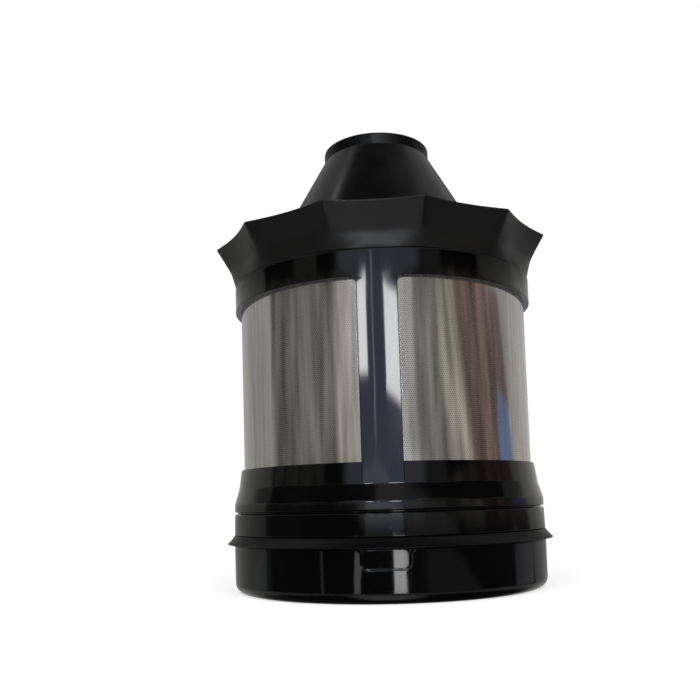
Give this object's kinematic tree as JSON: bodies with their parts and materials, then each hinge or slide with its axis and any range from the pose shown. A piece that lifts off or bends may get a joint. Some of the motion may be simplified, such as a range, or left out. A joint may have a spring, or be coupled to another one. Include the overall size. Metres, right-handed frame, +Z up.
{
  "type": "vacuum filter",
  "caption": "Cyclone filter element of a stick vacuum's dust cup: black cage round a steel mesh sleeve, pointed soft skirt, open cone, lip seal and a base that twists off.",
  "frame": {"origin": "middle of the end cap's underside, on the axis, where the element stands", "axes": "+Z up along the axis to the cone's open neck, -Y towards the front pillar"},
  "size_m": [0.1088, 0.1088, 0.1485],
  "materials": {
    "gloss_black": "high gloss black",
    "cone_black": "satin gloss black",
    "skirt_rubber": "matte charcoal",
    "seal_silicone": "satin dark grey",
    "gasket_rubber": "matte black",
    "inner_plastic": "matte dark grey",
    "filter_media": "pleated white media",
    "mesh_steel": "polished perforated steel",
    "screw_steel": "zinc plated"
  },
  "bodies": {
    "base": {"end_cap": "gloss_black", "base_housing": "gloss_black", "lip_seal": "seal_silicone", "filter_frame": "inner_plastic", "pleat_pack": "filter_media", "vortex_finder": "inner_plastic", "finder_gasket": "gasket_rubber", "cyclone_body": "cone_black", "fixing_screws": "screw_steel", "cone_seal": "gasket_rubber"},
    "shroud": {"mesh_cage": "gloss_black", "mesh_screen": "mesh_steel", "dust_skirt": "skirt_rubber"}
  },
  "joints": [
    {"name": "shroud_twist", "type": "hinge", "parent": "base", "child": "shroud", "pos_m": [0, 0, 0.0282], "axis": [0, 0, 1], "range_deg": [0, 20]}
  ]
}
